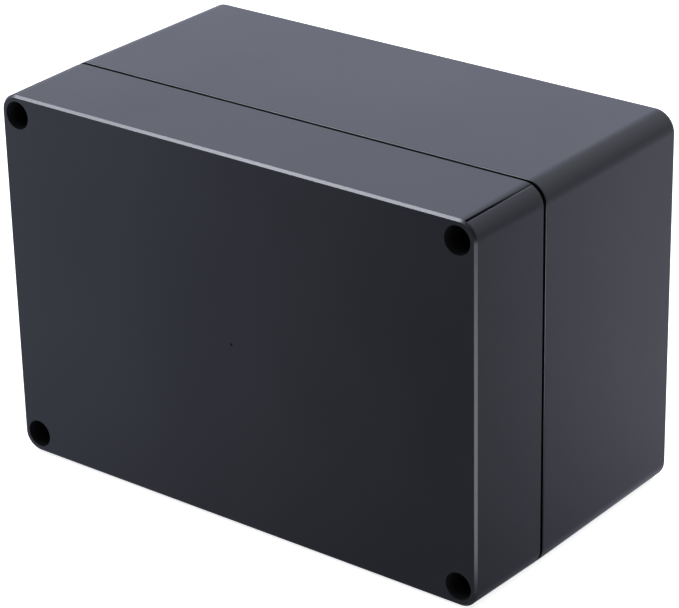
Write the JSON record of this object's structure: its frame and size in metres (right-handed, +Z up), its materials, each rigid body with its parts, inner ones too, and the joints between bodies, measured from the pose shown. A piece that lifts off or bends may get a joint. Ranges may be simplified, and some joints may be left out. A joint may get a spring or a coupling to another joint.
{
  "type": "plastic project box",
  "caption": "Black moulded plastic project box in two halves, with deep screw holes in the lid's corners, a seal groove and board standoffs inside.",
  "frame": {"origin": "middle of the underside, halfway along the length and the depth", "axes": "+X along the long side, +Y from the lid at the front to the back, +Z up"},
  "size_m": [0.16, 0.09, 0.11],
  "materials": {
    "housing": "satin black moulded ABS",
    "gasket": "soft matt black silicone rubber",
    "screw": "plain stainless steel",
    "insert": "turned brass",
    "ring": "matt black rubber"
  },
  "bodies": {
    "base": {"base": "housing", "threaded_insert_1": "insert", "threaded_insert_2": "insert", "threaded_insert_3": "insert", "threaded_insert_4": "insert"},
    "lid": {"lid": "housing", "gasket": "gasket"},
    "ring_1": {"retaining_ring_1": "ring"},
    "screw_1": {"lid_screw_1": "screw"},
    "ring_2": {"retaining_ring_2": "ring"},
    "screw_2": {"lid_screw_2": "screw"},
    "ring_3": {"retaining_ring_3": "ring"},
    "screw_3": {"lid_screw_3": "screw"},
    "ring_4": {"retaining_ring_4": "ring"},
    "screw_4": {"lid_screw_4": "screw"}
  },
  "joints": [
    {"name": "lid_lift_off", "type": "slide", "parent": "base", "child": "lid", "axis": [0, -1, 0], "range_m": [0, 0.03]},
    {"name": "screw_1_turn", "type": "hinge", "parent": "lid", "child": "ring_1", "pos_m": [0.0737, -0.017, 0.1037], "axis": [0, -1, 0], "range_deg": [0, 4320]},
    {"name": "screw_1_advance", "type": "slide", "parent": "ring_1", "child": "screw_1", "axis": [0, -1, 0], "range_m": [0, 0.0084]},
    {"name": "screw_2_turn", "type": "hinge", "parent": "lid", "child": "ring_2", "pos_m": [-0.0737, -0.017, 0.1037], "axis": [0, -1, 0], "range_deg": [0, 4320]},
    {"name": "screw_2_advance", "type": "slide", "parent": "ring_2", "child": "screw_2", "axis": [0, -1, 0], "range_m": [0, 0.0084]},
    {"name": "screw_3_turn", "type": "hinge", "parent": "lid", "child": "ring_3", "pos_m": [-0.0737, -0.017, 0.0063], "axis": [0, -1, 0], "range_deg": [0, 4320]},
    {"name": "screw_3_advance", "type": "slide", "parent": "ring_3", "child": "screw_3", "axis": [0, -1, 0], "range_m": [0, 0.0084]},
    {"name": "screw_4_turn", "type": "hinge", "parent": "lid", "child": "ring_4", "pos_m": [0.0737, -0.017, 0.0063], "axis": [0, -1, 0], "range_deg": [0, 4320]},
    {"name": "screw_4_advance", "type": "slide", "parent": "ring_4", "child": "screw_4", "axis": [0, -1, 0], "range_m": [0, 0.0084]}
  ],
  "couplings": [
    {"joint": "screw_1_turn", "follows": "screw_1_advance", "rad_per_m": 8976},
    {"joint": "screw_2_turn", "follows": "screw_2_advance", "rad_per_m": 8976},
    {"joint": "screw_3_turn", "follows": "screw_3_advance", "rad_per_m": 8976},
    {"joint": "screw_4_turn", "follows": "screw_4_advance", "rad_per_m": 8976}
  ]
}
